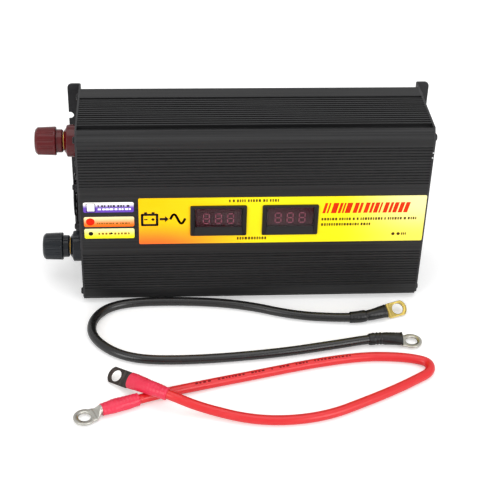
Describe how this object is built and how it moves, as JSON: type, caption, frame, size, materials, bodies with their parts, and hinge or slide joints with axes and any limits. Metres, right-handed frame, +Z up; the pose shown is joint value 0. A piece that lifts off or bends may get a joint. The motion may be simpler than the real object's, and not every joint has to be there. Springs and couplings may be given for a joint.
{
  "type": "power inverter",
  "caption": "Finned power inverter with end flanges, clamp posts, fan, panel meters, mains outlets and loose battery leads with ring lugs.",
  "frame": {"origin": "middle of the bottom of the inverter's own box, on the surface it stands on, without the loose leads", "axes": "+X from the DC end with its clamp posts to the mains end, +Y from the label face to the mounting flanges, +Z up"},
  "size_m": [0.347, 0.2593, 0.1721],
  "materials": {
    "black_shell": "black anodised extrusion, satin",
    "black_plate": "black powder coat",
    "dark_screws": "black zinc",
    "label_print": "printed film, satin",
    "sticker_print": "printed film, satin",
    "meter_black": "gloss",
    "meter_glass": "smoked",
    "digit_block": "moulded",
    "circuit_board": "solder mask",
    "red_post": "moulded",
    "black_post": "moulded",
    "stud_brass": "turned",
    "fan_plastic": "moulded",
    "fan_copper": "wound copper",
    "guard_wire": "plated wire",
    "outlet_plastic": "moulded",
    "contact_brass": "pressed",
    "switch_black": "moulded",
    "switch_red": "moulded",
    "usb_steel": "pressed",
    "lamp_green": "moulded",
    "lamp_red": "moulded",
    "fixing_steel": "plated",
    "ferrite": "sintered",
    "winding_tape": "polyester tape",
    "capacitor_sleeve": "shrink sleeve",
    "package_black": "moulded",
    "clamp_aluminium": "extruded",
    "winding_copper": "enamelled copper",
    "busbar_copper": "bare copper",
    "fuse_plastic": "moulded",
    "black_cable": "soft vinyl",
    "red_cable": "soft vinyl",
    "black_sleeve": "shrink tube",
    "red_sleeve": "shrink tube",
    "brass_lug": "worn",
    "tinned_lug": "tinned copper",
    "dark_lug": "tarnished"
  },
  "bodies": {
    "case": {"finned_cover": "black_shell", "base_tray": "black_shell", "dc_end_plate": "black_plate", "ac_end_plate": "black_plate", "plate_screws": "dark_screws", "label_panel": "label_print", "sticker_upper": "sticker_print", "sticker_middle": "sticker_print", "sticker_lower": "sticker_print", "left_meter_bezel": "meter_black", "right_meter_bezel": "meter_black", "left_meter_window": "meter_glass", "right_meter_window": "meter_glass", "left_meter_digits": "digit_block", "right_meter_digits": "digit_block", "meter_boards": "circuit_board", "red_post_base": "red_post", "black_post_base": "black_post", "red_post_stud": "stud_brass", "black_post_stud": "stud_brass", "red_post_nut": "stud_brass", "black_post_nut": "stud_brass", "fan_frame": "fan_plastic", "fan_stator": "fan_copper", "fan_guard": "guard_wire", "fan_screws": "dark_screws", "outlet_upper": "outlet_plastic", "outlet_lower": "outlet_plastic", "outlet_contacts": "contact_brass", "switch_housing": "switch_black", "usb_port": "usb_steel", "power_lamp": "lamp_green", "fault_lamp": "lamp_red", "main_board": "circuit_board", "board_fixings": "fixing_steel", "transformer_cores": "ferrite", "transformer_windings": "winding_tape", "capacitors": "capacitor_sleeve", "transistors": "package_black", "clamp_bars": "clamp_aluminium", "output_choke": "winding_copper", "dc_busbars": "busbar_copper", "blade_fuses": "fuse_plastic", "control_board": "circuit_board"},
    "fan_rotor_body": {"fan_rotor": "fan_plastic"},
    "rocker": {"switch_rocker": "switch_red"},
    "red_collar": {"red_post_collar": "red_post"},
    "red_knob": {"red_post_knob": "red_post"},
    "black_collar": {"black_post_collar": "black_post"},
    "black_knob": {"black_post_knob": "black_post"},
    "black_battery_lead": {"black_lead": "black_cable", "black_lug_far": "brass_lug", "black_lug_near": "tinned_lug", "black_sleeve_far": "black_sleeve", "black_sleeve_near": "black_sleeve"},
    "red_battery_lead": {"red_lead": "red_cable", "red_lug_raised": "dark_lug", "red_lug_flat": "tinned_lug", "red_sleeve_raised": "red_sleeve", "red_sleeve_flat": "red_sleeve"}
  },
  "joints": [
    {"name": "fan_spin", "type": "hinge", "parent": "case", "child": "fan_rotor_body", "pos_m": [-0.13, -0.0035, 0.0885], "axis": [-1, 0, 0], "continuous": true},
    {"name": "switch_rock", "type": "hinge", "parent": "case", "child": "rocker", "pos_m": [0.1634, -0.0215, 0.151], "axis": [0, -1, 0], "range_deg": [0, 20]},
    {"name": "red_clamp_travel", "type": "slide", "parent": "case", "child": "red_collar", "axis": [-1, 0, 0], "range_m": [0, 0.0101]},
    {"name": "red_knob_turn", "type": "hinge", "parent": "red_collar", "child": "red_knob", "pos_m": [-0.16, -0.0035, 0.143], "axis": [-1, 0, 0], "range_deg": [0, 2880]},
    {"name": "black_clamp_travel", "type": "slide", "parent": "case", "child": "black_collar", "axis": [-1, 0, 0], "range_m": [0, 0.0101]},
    {"name": "black_knob_turn", "type": "hinge", "parent": "black_collar", "child": "black_knob", "pos_m": [-0.16, -0.0035, 0.034], "axis": [-1, 0, 0], "range_deg": [0, 2880]},
    {"name": "black_lead_lift", "type": "slide", "parent": "case", "child": "black_battery_lead", "axis": [0, -0.342, 0.9397], "range_m": [0, 0.12]},
    {"name": "red_lead_lift", "type": "slide", "parent": "case", "child": "red_battery_lead", "axis": [0, -0.342, 0.9397], "range_m": [0, 0.12]}
  ],
  "couplings": [
    {"joint": "red_clamp_travel", "follows": "red_knob_turn", "m_per_rad": 0.00019894},
    {"joint": "black_clamp_travel", "follows": "black_knob_turn", "m_per_rad": 0.00019894}
  ]
}
